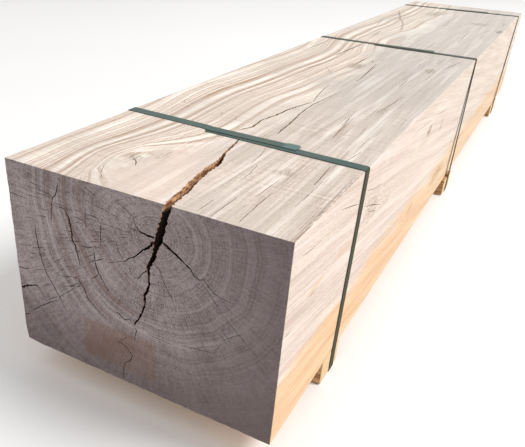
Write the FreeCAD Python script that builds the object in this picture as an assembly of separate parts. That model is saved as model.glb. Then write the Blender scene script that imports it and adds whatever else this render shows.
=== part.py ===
import FreeCAD, Part
import math
import os

# Squared hardwood post, lying on three battens and strapped to them.
# Millimetres. +Y runs along the post from its split front end to its far end,
# +X to the right seen from the front end, +Z up. The origin is under the middle,
# on the floor. Distances called "along" are measured from the front end.

# post
POST_WIDTH = 350.0
POST_HEIGHT = 250.0
POST_LENGTH = 1900.0
ARRIS_RADIUS = 2.0
WORN_ARRIS_RADIUS = 7.0

# bearers: where each one's middle line is, as a share of the post's length, how wide it
# is, and how far its ends stand out past the post's sides
BEARER_THICKNESS = 36.0
BEARERS = {
    "front": {"place": 0.102, "width": 63.0, "proud": 0.0},
    "middle": {"place": 0.496, "width": 72.0, "proud": 5.5},
    "rear": {"place": 0.898, "width": 112.0, "proud": 1.5},
}
BEARER_ARRIS_RADIUS = 1.5

# straps: how far behind its bearer's middle line each band crosses the post's top right
# and top left arrises, and where it runs under the bearer's right and left ends, as a
# share of the bearer's half width
STRAP_WIDTH = 15.5
STRAP_THICKNESS = 0.9
STRAPS = {
    "front": {"top_right": 19.0, "top_left": 43.0, "under_right": 0.25, "under_left": 0.5},
    "middle": {"top_right": 36.0, "top_left": 42.0, "under_right": 0.0, "under_left": 0.4},
    "rear": {"top_right": 88.0, "top_left": 54.0, "under_right": -0.15, "under_left": 0.3},
}
# the welded overlap on top: where the under and upper ends are, how far the two stray
# sideways from the line between the arrises, and the film of weld between the layers
WELD_FILM = 0.02
UNDER_END_X = -42.0
UPPER_END_X = 84.0
UNDER_END_STRAY = -6.0
UPPER_END_STRAY = 5.0
STEP_UP_LENGTH = 6.0

# drying cleft in the front end: depth below the top, middle, width
CLEFT_SECTION = [
    (0.0, 40.5, 11.0),
    (42.0, 29.0, 11.0),
    (80.0, 17.0, 5.0),
    (123.0, 12.5, 3.5),
    (158.0, -1.0, 0.8),
]
# how the cleft closes along the post: along, shift to the left, width share, depth share
CLEFT_RUN = [
    (0.0, 0.0, 1.0, 1.0),
    (60.0, 8.5, 0.8, 0.9),
    (130.0, 18.0, 0.45, 0.65),
    (235.0, 34.0, 0.12, 0.25),
]
CLEFT_TOP_MARGIN = 1.0

POST_BOTTOM = STRAP_THICKNESS + BEARER_THICKNESS
POST_TOP = POST_BOTTOM + POST_HEIGHT
FRONT_Y = -POST_LENGTH / 2
HALF_WIDTH = POST_WIDTH / 2


def vector(x, y, z):
    return FreeCAD.Vector(x, y, z)


def lengthwise_edges(solid, axis, test):
    """Straight edges along an axis ("x" or "y") whose middle passes the test."""
    found = []
    for edge in solid.Edges:
        ends = [vertex.Point for vertex in edge.Vertexes]
        if len(ends) < 2:
            continue
        run = ends[1] - ends[0]
        main = abs(run.x) if axis == "x" else abs(run.y)
        if main > 0.999 * run.Length and test((ends[0] + ends[1]) * 0.5):
            found.append(edge)
    return found


def cleft_outline(along, shift, width_share, depth_share):
    """Closed outline of the cleft across the post, widest at the top."""
    y = FRONT_Y + along
    left = []
    right = []
    for depth, middle, width in CLEFT_SECTION:
        z = POST_TOP - depth * depth_share
        if depth == 0.0:
            z += CLEFT_TOP_MARGIN
        half = width * width_share / 2
        left.append(vector(middle - shift - half, y, z))
        right.append(vector(middle - shift + half, y, z))
    points = left + right[::-1]
    return Part.makePolygon(points + [points[0]])


def make_post():
    post = Part.makeBox(POST_WIDTH, POST_LENGTH, POST_HEIGHT, vector(-HALF_WIDTH, FRONT_Y, POST_BOTTOM))

    def is_worn(point):
        return point.x < 0 and point.z < POST_BOTTOM + 1

    post = post.makeFillet(WORN_ARRIS_RADIUS, lengthwise_edges(post, "y", is_worn))

    def is_sharp(point):
        outer = abs(abs(point.x) - HALF_WIDTH) < 0.1
        level = min(abs(point.z - POST_BOTTOM), abs(point.z - POST_TOP)) < 0.1
        return outer and level

    post = post.makeFillet(ARRIS_RADIUS, lengthwise_edges(post, "y", is_sharp))
    outlines = [cleft_outline(*station) for station in CLEFT_RUN]
    cleft = Part.makeLoft(outlines, True, True)
    return post.cut(cleft)


def bearer_middle(name):
    return FRONT_Y + BEARERS[name]["place"] * POST_LENGTH


def bearer_ends(name):
    """Left and right ends of a bearer: it stands out as much at both ends."""
    proud = BEARERS[name]["proud"]
    return -HALF_WIDTH - proud, HALF_WIDTH + proud


def make_bearer(name):
    left, right = bearer_ends(name)
    width = BEARERS[name]["width"]
    corner = vector(left, bearer_middle(name) - width / 2, STRAP_THICKNESS)
    bearer = Part.makeBox(right - left, width, BEARER_THICKNESS, corner)
    long_edges = lengthwise_edges(bearer, "x", lambda point: True)
    return bearer.makeFillet(BEARER_ARRIS_RADIUS, long_edges)


def offset_directions(path):
    """Mitre vector at each point of the path, one strap thickness outwards."""
    normals = []
    for (x0, z0), (x1, z1) in zip(path, path[1:]):
        length = math.hypot(x1 - x0, z1 - z0)
        # the path runs clockwise seen from the front end, so outwards is to its left
        normals.append((-(z1 - z0) / length, (x1 - x0) / length))
    mitres = []
    for index in range(len(path)):
        before = normals[max(index - 1, 0)]
        after = normals[min(index, len(normals) - 1)]
        scale = STRAP_THICKNESS / (1 + before[0] * after[0] + before[1] * after[1])
        mitres.append(((before[0] + after[0]) * scale, (before[1] + after[1]) * scale))
    return mitres


def flat_face(*corners):
    return Part.Face(Part.makePolygon(list(corners) + [corners[0]]))


def strap_section(x, z, y, mitre):
    """Corners of the band's section at one point of its path: inner pair, outer pair."""
    half = STRAP_WIDTH / 2
    return [
        vector(x, y - half, z),
        vector(x, y + half, z),
        vector(x + mitre[0], y + half, z + mitre[1]),
        vector(x + mitre[0], y - half, z + mitre[1]),
    ]


def band_solid(sections):
    """Solid through the sections: flat broad faces, each narrow edge as two triangles."""
    faces = [flat_face(*sections[0]), flat_face(*sections[-1])]
    for (a, b, c, d), (e, f, g, h) in zip(sections, sections[1:]):
        faces.append(flat_face(a, b, f, e))
        faces.append(flat_face(c, d, h, g))
        faces.append(flat_face(b, c, g))
        faces.append(flat_face(b, g, f))
        faces.append(flat_face(d, a, e))
        faces.append(flat_face(d, e, h))
    return Part.makeSolid(Part.makeShell(faces))


def make_strap(name):
    """A band from its under end, clockwise round post and bearer, to its upper end."""
    strap = STRAPS[name]
    middle = bearer_middle(name)
    half_bearer = BEARERS[name]["width"] / 2
    left, right = bearer_ends(name)
    top_left = middle + strap["top_left"]
    top_right = middle + strap["top_right"]
    under_left = middle + strap["under_left"] * half_bearer
    under_right = middle + strap["under_right"] * half_bearer

    def y_on_top(x, stray):
        share = (x + HALF_WIDTH) / POST_WIDTH
        return top_left + (top_right - top_left) * share + stray

    upper_level = POST_TOP + STRAP_THICKNESS + WELD_FILM
    step_foot = UNDER_END_X - STEP_UP_LENGTH
    upper_run = UPPER_END_X + HALF_WIDTH
    stray_at_step = UPPER_END_STRAY * (step_foot + HALF_WIDTH) / upper_run
    stray_at_under_end = UPPER_END_STRAY * (UNDER_END_X + HALF_WIDTH) / upper_run
    stations = [
        (UNDER_END_X, POST_TOP, y_on_top(UNDER_END_X, UNDER_END_STRAY)),
        (HALF_WIDTH, POST_TOP, top_right),
        (right, POST_BOTTOM, under_right),
        (right, STRAP_THICKNESS, under_right),
        (left, STRAP_THICKNESS, under_left),
        (left, POST_BOTTOM, under_left),
        (-HALF_WIDTH, POST_TOP, top_left),
        (step_foot, POST_TOP, y_on_top(step_foot, stray_at_step)),
        (UNDER_END_X, upper_level, y_on_top(UNDER_END_X, stray_at_under_end)),
        (UPPER_END_X, upper_level, y_on_top(UPPER_END_X, UPPER_END_STRAY)),
    ]
    mitres = offset_directions([(x, z) for x, z, y in stations])
    sections = []
    for (x, z, y), mitre in zip(stations, mitres):
        sections.append(strap_section(x, z, y, mitre))
    return band_solid(sections)


os.makedirs("parts", exist_ok=True)
make_post().exportStep("parts/post.step")
for position in BEARERS:
    make_bearer(position).exportStep("parts/bearer_" + position + ".step")
    make_strap(position).exportStep("parts/strap_" + position + ".step")
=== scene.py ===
"""Looks of a squared hardwood post lying strapped on three battens.

Blender 4.5. Everything is in the part's own frame: +Y runs along the post from its
split front end, +X to the right seen from that end, +Z up, metres. Sizes on the wood are
written in millimetres and turned into metres when a mesh is made.
"""
import math
import random

import bpy
import numpy as np
from mathutils import Matrix, Vector, noise
from mathutils.geometry import delaunay_2d_cdt


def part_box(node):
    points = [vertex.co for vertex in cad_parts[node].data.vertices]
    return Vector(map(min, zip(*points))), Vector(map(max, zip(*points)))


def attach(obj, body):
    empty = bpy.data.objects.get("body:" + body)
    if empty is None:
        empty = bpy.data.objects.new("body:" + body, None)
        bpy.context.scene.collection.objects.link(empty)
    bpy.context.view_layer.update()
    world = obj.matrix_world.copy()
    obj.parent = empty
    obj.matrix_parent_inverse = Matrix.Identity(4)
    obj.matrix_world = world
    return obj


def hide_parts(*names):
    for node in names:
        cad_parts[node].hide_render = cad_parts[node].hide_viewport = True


MM = 0.001

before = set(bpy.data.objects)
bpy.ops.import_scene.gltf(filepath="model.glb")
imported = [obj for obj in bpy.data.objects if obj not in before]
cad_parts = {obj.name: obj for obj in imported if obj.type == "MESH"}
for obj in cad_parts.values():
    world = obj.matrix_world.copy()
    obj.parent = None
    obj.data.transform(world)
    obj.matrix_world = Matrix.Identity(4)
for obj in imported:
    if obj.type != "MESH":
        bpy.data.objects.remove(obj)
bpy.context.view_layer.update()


# ---- sizes, in millimetres

def box_mm(node):
    low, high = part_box(node)
    return np.array(low) / MM, np.array(high) / MM


POST_LOW, POST_HIGH = box_mm("post")
POST_SIZE = POST_HIGH - POST_LOW
RIGHT, TOP = float(POST_HIGH[0]), float(POST_HIGH[2])
FRONT, UNDERSIDE = float(POST_LOW[1]), float(POST_LOW[2])

# the pith on the front end: to the right of the middle, and above the underside
PITH_X = 29.0
PITH_RISE = 208.0
# how far the pith moves across and up for each millimetre back
PITH_DRIFT = (-0.03, -0.012)

# a noise of this size along an axis doesn't change along it
FAR = 1e6

# camera: where it stands from the middle of the post's front bottom edge, and how it looks
CAMERA_FROM_FRONT = (336.0, -451.6, 503.2)
CAMERA_HEADING = 27.25
CAMERA_DOWN = 29.6
CAMERA_ROLL = 3.4
CAMERA_LENS = 42.05
CAMERA_SHIFT = (0.077, 0.060)


# ---- small helpers

def value_noise(points, scale, seed=0.0):
    """Perlin noise, about -1 to 1, at points in millimetres; scale in millimetres per axis."""
    scale = np.broadcast_to(np.asarray(scale, float), (3,))
    shifted = points / scale + np.array([seed * 7.31, seed * 3.77, seed * 5.13])
    return np.array([noise.noise(Vector(p)) for p in shifted])


def smoothstep(low, high, x):
    t = np.clip((np.asarray(x, float) - low) / (high - low), 0.0, 1.0)
    return t * t * (3 - 2 * t)


def new_object(name, vertices, faces, slots, materials, smooth_angle=40.0):
    """Mesh object from millimetre vertices; slots holds a material number for each face."""
    mesh = bpy.data.meshes.new(name)
    mesh.from_pydata((np.asarray(vertices) * MM).tolist(), [], faces)
    for material in materials:
        mesh.materials.append(material)
    mesh.polygons.foreach_set("material_index", slots)
    mesh.polygons.foreach_set("use_smooth", [True] * len(mesh.polygons))
    mesh.set_sharp_from_angle(angle=math.radians(smooth_angle))
    mesh.validate()
    mesh.update()
    obj = bpy.data.objects.new(name, mesh)
    bpy.context.scene.collection.objects.link(obj)
    return obj


def set_attribute(obj, name, values):
    layer = obj.data.attributes.new(name, "FLOAT", "POINT")
    layer.data.foreach_set("value", np.asarray(values, dtype=np.float32))


# ---- cracks in wood

class Crack:
    """A V-shaped check in a flat face, along a wandering path.

    path holds (u, v, width) in millimetres on the face. The ends are pointed, but for a
    start that opens from a wider cleft.
    """

    def __init__(self, path, depth=None, rough=1.0, seed=1, open_start=False):
        rng = random.Random(seed)
        path = np.array(path, float)
        steps = np.linalg.norm(np.diff(path[:, :2], axis=0), axis=1)
        run = np.concatenate([[0.0], np.cumsum(steps)])
        count = int(np.clip(run[-1] / 2.2, 4, 60))
        at = np.linspace(0.0, run[-1], count + 1)
        middle = np.stack([np.interp(at, run, path[:, k]) for k in range(3)], axis=1)
        along = np.gradient(middle[:, :2], axis=0)
        along /= np.linalg.norm(along, axis=1)[:, None] + 1e-9
        across = np.stack([-along[:, 1], along[:, 0]], axis=1)
        width = np.maximum(middle[:, 2], 0.08)
        width[-1] = 0.0
        if not open_start:
            width[0] = 0.0
        stray = np.array([rng.uniform(-1, 1) for _ in at]) * rough
        stray[0] = stray[-1] = 0.0
        self.centre = middle[:, :2] + across * (stray * (0.12 + 0.22 * width))[:, None]
        self.sides = []
        for sign in (1, -1):
            half = width / 2 * np.array([1 + 0.35 * rng.uniform(-1, 1) for _ in at])
            self.sides.append(self.centre + across * (sign * half)[:, None])
        self.half = width / 2
        deepest = depth if depth is not None else min(9.0 * width.max() + 1.5, 30.0)
        self.depth = deepest * np.clip(width / (width.max() + 1e-9), 0.25, 1.0)
        self.depth[-1] = 0.0
        if not open_start:
            self.depth[0] = 0.0
        self.first = 0 if open_start else 1
        way_back = self.sides[1][self.first:-1][::-1]
        self.outline = np.concatenate([self.sides[0], way_back])

    def inside(self, points):
        return in_polygon(points, self.outline)

    def depth_at(self, points):
        """How far below the face each point of the face lies in this check."""
        result = np.zeros(len(points))
        low = self.outline.min(axis=0) - 0.01
        high = self.outline.max(axis=0) + 0.01
        near = np.all((points >= low) & (points <= high), axis=1)
        if not near.any():
            return result
        picked = points[near]
        best = np.full(len(picked), 1e9)
        depth = np.zeros(len(picked))
        for i in range(len(self.centre) - 1):
            a, b = self.centre[i], self.centre[i + 1]
            run = b - a
            t = np.clip((picked - a) @ run / (run @ run + 1e-12), 0, 1)
            gap = np.linalg.norm(picked - (a + t[:, None] * run), axis=1)
            half = self.half[i] * (1 - t) + self.half[i + 1] * t
            deep = self.depth[i] * (1 - t) + self.depth[i + 1] * t
            closer = gap < best
            best[closer] = gap[closer]
            share = np.clip(1 - gap / (half * 0.62 + 1e-6), 0, 1)
            depth[closer] = (deep * share)[closer]
        result[near] = depth
        return result


def in_polygon(points, polygon):
    """Even-odd test of many points against one closed outline."""
    inside = np.zeros(len(points), bool)
    x, y = points[:, 0], points[:, 1]
    x0, y0 = polygon[-1]
    for x1, y1 in polygon:
        crosses = (y0 > y) != (y1 > y)
        if crosses.any():
            cut = (x1 - x0) * (y - y0) / (y1 - y0 + 1e-15) + x0
            inside ^= crosses & (x < cut)
        x0, y0 = x1, y1
    return inside


# ---- blocks of timber

# each face of a block: the axes that run along it, the axis it faces along, which side
FACES = {
    "front": (0, 2, 1, 0),
    "back": (0, 2, 1, 1),
    "top": (0, 1, 2, 1),
    "bottom": (0, 1, 2, 0),
    "right": (1, 2, 0, 1),
    "left": (1, 2, 0, 0),
}
EDGE_ROWS = (0.8, 2.0, 4.0)


def snap_to_corners(points, line):
    """Points on a polyline moved to its nearest corner, and which points those are."""
    points = points.copy()
    a, b = line[:-1], line[1:]
    run = b - a
    on_line = np.zeros(len(points), bool)
    low, high = line.min(axis=0) - 1, line.max(axis=0) + 1
    for index in np.where(np.all((points > low) & (points < high), axis=1))[0]:
        share = ((points[index] - a) * run).sum(axis=1) / (run ** 2).sum(axis=1)
        foot = a + np.clip(share, 0, 1)[:, None] * run
        if np.linalg.norm(foot - points[index], axis=1).min() < 0.01:
            on_line[index] = True
            points[index] = line[np.linalg.norm(line - points[index], axis=1).argmin()]
    return points, on_line


def axis_samples(length, step):
    """Places along a side: a regular run with extra rows beside both edges."""
    inner = np.linspace(EDGE_ROWS[-1], length - EDGE_ROWS[-1], max(int(length / step), 2))
    rows = np.array(EDGE_ROWS[:-1])
    return np.concatenate([[0.0], rows, inner, length - rows[::-1], [length]])


class Timber:
    """A sawn block with worn arrises, low relief and real checks cut into its faces."""

    def __init__(self, low, high, steps, radius, relief, seed):
        self.low, self.high = np.array(low, float), np.array(high, float)
        self.samples = [axis_samples(self.high[k] - self.low[k], steps[k]) for k in range(3)]
        self.radius, self.relief = radius, relief
        self.rng = random.Random(seed)
        self.vertices, self.faces, self.slots, self.depths, self.stains = [], [], [], [], []
        self.count = 0

    def surface(self, points):
        """Points of the sharp box moved to the worn and uneven surface, and its normals."""
        radius = self.radius(points)[:, None]
        core = np.clip(points, self.low + radius, self.high - radius)
        out = points - core
        normal = out / (np.linalg.norm(out, axis=1)[:, None] + 1e-12)
        height = radius[:, 0] - np.abs(self.relief(points))
        return core + normal * height[:, None], normal

    def add(self, vertices, faces, slots, depths, stains):
        self.vertices.append(vertices)
        self.depths.append(depths)
        self.stains.append(stains)
        self.faces.extend([tuple(i + self.count for i in face) for face in faces])
        self.slots.extend(slots)
        self.count += len(vertices)

    def on_face(self, name, flat):
        """Points (u, v) of a face as points of the sharp box."""
        u_axis, v_axis, normal_axis, side = FACES[name]
        points = np.zeros((len(flat), 3))
        points[:, u_axis] = self.low[u_axis] + flat[:, 0]
        points[:, v_axis] = self.low[v_axis] + flat[:, 1]
        points[:, normal_axis] = (self.high if side else self.low)[normal_axis]
        return points

    def add_face(self, name, slot, crack_slot, cracks=(), notch=None, marks=()):
        """One face, with checks as grooves, stains as marks and a notch left open."""
        u_axis, v_axis, normal_axis, side = FACES[name]
        us, vs = self.samples[u_axis], self.samples[v_axis]
        size = np.array([us[-1], vs[-1]])
        grid = np.array([(u, v) for u in us for v in vs])
        rim = (grid <= EDGE_ROWS[-1] + 1e-6) | (grid >= size - EDGE_ROWS[-1] - 1e-6)
        loose = ~rim.any(axis=1)
        jitter = np.array([[self.rng.uniform(-1, 1), self.rng.uniform(-1, 1)] for _ in grid])
        grid[loose] += jitter[loose] * 1.2
        keep = np.ones(len(grid), bool)
        for crack in (*cracks, *marks):
            keep &= ~(crack.inside(grid) & loose)
            for side_line in crack.sides:
                low, high = side_line.min(axis=0) - 2, side_line.max(axis=0) + 2
                near = np.where(keep & loose & np.all((grid > low) & (grid < high), axis=1))[0]
                for index in near:
                    gaps = np.linalg.norm(side_line - grid[index], axis=1)
                    if gaps.min() < 1.0:
                        keep[index] = False
        if notch is not None:
            # points of the arris in the notch's mouth count as inside it
            gap = in_polygon(np.clip(grid, 0.01, size - 0.01), notch)
            for index in np.where(keep)[0]:
                if np.linalg.norm(notch - grid[index], axis=1).min() < 1.2:
                    gap[index] = True
            keep &= ~gap
        points = [tuple(p) for p in grid[keep]]
        edges = []

        def add_line(line, closed=False):
            start = len(points)
            points.extend(tuple(p) for p in line)
            edges.extend((start + i, start + i + 1) for i in range(len(line) - 1))
            if closed:
                edges.append((start + len(line) - 1, start))

        for crack in (*cracks, *marks):
            add_line(crack.outline, closed=True)
            add_line(crack.centre[crack.first:-1])
        if notch is not None:
            add_line(notch)
        flat, _, triangles, _, _, _ = delaunay_2d_cdt(
            [Vector(p) for p in points], edges, [], 0, 1e-5
        )
        flat = np.array([tuple(p) for p in flat])
        triangles = np.array([tuple(t) for t in triangles])
        if notch is not None:
            middles = flat[triangles].mean(axis=1)
            # across its mouth lie slivers with no height
            slivers = (np.ptp(flat[triangles], axis=1) < 1e-3).any(axis=1)
            triangles = triangles[~(slivers | in_polygon(middles, notch))]
            flat, on_notch = snap_to_corners(flat, notch)
        depth = np.zeros(len(flat))
        for crack in cracks:
            depth = np.maximum(depth, crack.depth_at(flat))
        if notch is not None:
            depth[on_notch] = 0.0
        placed, normal = self.surface(self.on_face(name, flat))
        placed = placed - normal * depth[:, None]
        flip = (side == 0) != (normal_axis == 1)
        if flip:
            triangles = triangles[:, ::-1]
        cut = depth[triangles].max(axis=1) > 0.15
        stain = np.zeros(len(flat))
        for mark in marks:
            stain = np.maximum(stain, mark.depth_at(flat))
        self.add(placed, triangles.tolist(), np.where(cut, crack_slot, slot).tolist(), depth, stain)

    def build(self, name, materials):
        """Mesh object with the faces welded along the arrises."""
        vertices = np.concatenate(self.vertices)
        depths = np.concatenate(self.depths)
        stains = np.concatenate(self.stains)
        keys = np.round(vertices * 500).astype(np.int64)
        _, first, same = np.unique(keys, axis=0, return_index=True, return_inverse=True)
        same = same.ravel()
        faces, slots = [], []
        for face, slot in zip(self.faces, self.slots):
            welded = list(dict.fromkeys(int(same[i]) for i in face))
            if len(welded) > 2:
                faces.append(welded)
                slots.append(slot)
        obj = new_object(name, vertices[first], faces, slots, materials)
        set_attribute(obj, "depth", depths[first])
        set_attribute(obj, "stain", stains[first])
        return obj


# ---- shader helper

def srgb(red, green, blue):
    """A colour given as 0 to 255 as seen, in linear light."""
    def linear(c):
        c /= 255.0
        return c / 12.92 if c <= 0.04045 else ((c + 0.055) / 1.055) ** 2.4
    return (linear(red), linear(green), linear(blue))


def arithmetic(operation, swapped=False):
    """A method that adds a Math node for an arithmetic sign."""
    def method(self, other):
        pair = (other, self) if swapped else (self, other)
        return self.shader.math(operation, *pair)
    return method


class Value:
    """A node's output, which takes part in plain arithmetic."""

    def __init__(self, shader, socket):
        self.shader, self.socket = shader, socket

    __add__ = arithmetic("ADD")
    __sub__ = arithmetic("SUBTRACT")
    __rsub__ = arithmetic("SUBTRACT", swapped=True)
    __mul__ = arithmetic("MULTIPLY")
    __truediv__ = arithmetic("DIVIDE")
    __rtruediv__ = arithmetic("DIVIDE", swapped=True)


class Shader:
    """A node material, with short names for building it. Colours are 0 to 255 as seen."""

    def __init__(self, name):
        self.material = bpy.data.materials.new(name)
        self.material.use_nodes = True
        self.tree = self.material.node_tree
        self.tree.nodes.clear()
        output = self.tree.nodes.new("ShaderNodeOutputMaterial")
        self.bsdf = self.tree.nodes.new("ShaderNodeBsdfPrincipled")
        self.tree.links.new(self.bsdf.outputs[0], output.inputs[0])
        self.color = None
        # the place on the object, in millimetres
        place = self.node("TexCoord", {}, "Object")
        self.place = self.times(place, (1 / MM, 1 / MM, 1 / MM))
        self.x, self.y, self.z = (self.node("SeparateXYZ", {0: self.place}, axis) for axis in "XYZ")

    def put(self, socket, value):
        """Link or set one input of a node."""
        if isinstance(value, Value):
            self.tree.links.new(value.socket, socket)
        elif isinstance(value, tuple) and len(socket.default_value) == 4:
            socket.default_value = (*srgb(*value), 1.0)
        else:
            socket.default_value = value

    def node(self, kind, inputs, output=0, **settings):
        """One output of a new node with these settings and inputs."""
        node = self.tree.nodes.new("ShaderNode" + kind)
        for name, setting in settings.items():
            setattr(node, name, setting)
        for key, value in inputs.items():
            self.put(node.inputs[key], value)
        return Value(self, node.outputs[output])

    def math(self, operation, a, b=0.0):
        return self.node("Math", {0: a, 1: b}, operation=operation)

    def times(self, vector, factors):
        return self.node("VectorMath", {0: vector, 1: factors}, operation="MULTIPLY")

    def join(self, x, y, z):
        return self.node("CombineXYZ", {0: x, 1: y, 2: z})

    def noise(self, sizes, detail=2.0, rough=0.5, place=None):
        """Noise with a size in millimetres along each axis."""
        vector = self.times(place or self.place, tuple(1.0 / size for size in sizes))
        inputs = {"Vector": vector, "Scale": 1.0, "Detail": detail, "Roughness": rough}
        return self.node("TexNoise", inputs, "Fac")

    def line_noise(self, w, detail=2.0, rough=0.5):
        """Noise along one number."""
        inputs = {"W": w, "Scale": 1.0, "Detail": detail, "Roughness": rough}
        return self.node("TexNoise", inputs, "Fac", noise_dimensions="1D")

    def range(self, value, low, high, to_low=0.0, to_high=1.0, smooth=True):
        inputs = {0: value, 1: low, 2: high, 3: to_low, 4: to_high}
        return self.node("MapRange", inputs, interpolation_type="SMOOTHSTEP" if smooth else "LINEAR")

    def mix(self, share, a, b):
        return self.node("Mix", {0: share, 6: a, 7: b}, 2, data_type="RGBA")

    def tint(self, share, color):
        """Bring a share of another colour into the material's own."""
        self.color = self.mix(share, self.color, color)

    def attribute(self, name):
        return self.node("Attribute", {}, "Fac", attribute_name=name)

    def bump(self, height, distance, strength=1.0):
        inputs = {"Height": height, "Distance": distance * MM, "Strength": strength}
        self.put(self.bsdf.inputs["Normal"], self.node("Bump", inputs))

    def finish(self, roughness, specular=0.3):
        self.put(self.bsdf.inputs["Base Color"], self.color)
        self.put(self.bsdf.inputs["Roughness"], roughness)
        self.put(self.bsdf.inputs["Specular IOR Level"], specular)
        return self.material


# ---- wood materials

# how much the grain on the right side drops for each millimetre further back
SIDE_GRAIN_SLOPE = 0.16
# brown marks on the right side: along, height above the underside, reach each way, strength
SIDE_SPOTS = [
    (265, 176, 34, 18, 0.26), (585, 199, 15, 7, 0.75), (702, 178, 12, 10, 0.35), (560, 67, 18, 6, 0.3),
    (790, 54, 70, 12, 0.35), (330, 160, 50, 7, 0.16), (75, 158, 10, 4, 0.2),
]
# orange patches on the right side: along, height, reach each way
SIDE_PATCHES = [(80, 162, 24, 4), (170, 164, 22, 3.5)]
# smudges on the top: x, along, reach each way, strength
TOP_SMUDGES = [
    (-62, 88, 9, 9, 0.35), (-36, 110, 6, 16, 0.3), (99, 147, 9, 12, 0.35),
    (-10, 735, 16, 26, 0.45), (-45, 1625, 26, 60, 0.35), (100, 1510, 24, 30, 0.3),
    (165, 1415, 9, 26, 0.5), (118, 790, 9, 22, 0.5), (119, 460, 8, 20, 0.25), (-120, 1480, 20, 90, 0.2),
]
# bands along the rings of the front end: ring radius, half width, direction from the
# pith in degrees (180 is left, 270 is down), colour, strength
BROWN, PALE = (118, 88, 74), (196, 186, 184)
END_ARCS = [
    (71, 6, 200, BROWN, 0.35), (106, 8, 205, BROWN, 0.5), (134, 7, 200, BROWN, 0.4),
    (88, 5, 190, PALE, 0.25), (120, 4, 195, PALE, 0.3), (147, 5, 195, PALE, 0.3), (160, 4, 190, PALE, 0.35),
    (127, 3, 285, PALE, 0.35), (119, 3, 275, PALE, 0.2), (86, 4, 340, PALE, 0.25),
    (106, 4, 345, PALE, 0.25), (62, 4, 0, PALE, 0.2), (150, 5, 300, PALE, 0.15), (46, 3, 20, PALE, 0.2),
]
# mean width of a year's ring
RING_WIDTH = 4.4
# the patch where a label kept the front end fresh
LABEL_X = (-76.0, 26.0)
LABEL_RISE = (21.0, 74.0)


class Wood(Shader):
    """Growth rings round a wandering pith, shared by every face of the post."""

    def __init__(self, name):
        super().__init__(name)
        self.along = self.y - FRONT
        wave = self.noise((FAR, 420.0, FAR), detail=1.0)
        wave_x = self.range(wave, 0.25, 0.75, -22.0, 22.0, smooth=False)
        # the pith drifts left and down towards the far end
        x = self.x - PITH_X - self.along * PITH_DRIFT[0] - wave_x + self.knot_push()
        z = self.z - (UNDERSIDE + PITH_RISE) - self.along * PITH_DRIFT[1]
        warp = self.swing(self.noise((75.0, 420.0, 75.0)), 4.0)
        self.radius = self.math("SQRT", x * x + z * z) + warp
        self.angle = self.math("ARCTAN2", z, x)
        self.rings()

    def knot_push(self):
        """The grain bends left round a knot in the top, near the front end."""
        level = (self.along - 80.0) / 58.0
        near = 1.0 / (level * level + 1.0)
        side = self.math("MINIMUM", self.math("EXPONENT", (self.x + 90.0) / 31.0), 1.7)
        fade = self.range(self.x, -62.0, 24.0, 1.0, 0.0)
        down = self.range(self.z, TOP - 90.0, TOP)
        return near * side * 62.0 * fade * down

    def rings(self):
        """Fine yearly rings and broad bands of darker wood."""
        shifted = self.radius + self.line_noise(self.radius / 26.0, detail=1.0) * 22.0
        self.year = self.math("POWER", self.math("FRACT", shifted / RING_WIDTH), 2.0)
        self.bands = self.line_noise(shifted / 9.0)
        self.zones = self.line_noise(shifted / 30.0, detail=1.0)

    def blend(self, *weighted):
        """Half, plus each pattern's swing round its own middle times a weight."""
        total = 0.5
        for pattern, weight in weighted:
            total = (pattern - 0.5) * weight + total
        return self.math("MAXIMUM", self.math("MINIMUM", total, 1.0), 0.0)

    def swing(self, pattern, reach):
        """A noise as a shift of up to this reach either way."""
        return self.range(pattern, 0.3, 0.7, -reach, reach, smooth=False)

    def box_mask(self, a, a_low, a_high, b, b_low, b_high, soft):
        """One inside a rectangle, falling to zero over its soft border."""
        mask = 1.0
        for value, low, high in ((a, a_low, a_high), (b, b_low, b_high)):
            mask = self.range(value, low - soft, low + soft) * mask
            mask = self.range(value, high - soft, high + soft, 1.0, 0.0) * mask
        return mask

    def spot(self, a, a_middle, a_reach, b, b_middle, b_reach, edge=0.35):
        """One in the middle of an ellipse, with a ragged soft edge."""
        along = (a - a_middle) / a_reach
        across = (b - b_middle) / b_reach
        rag = self.swing(self.noise((9.0, 20.0, 9.0), detail=4.0, rough=0.65), 0.9)
        far = along * along + across * across + rag
        return self.range(far, edge, 1.6, 1.0, 0.0)


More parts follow.
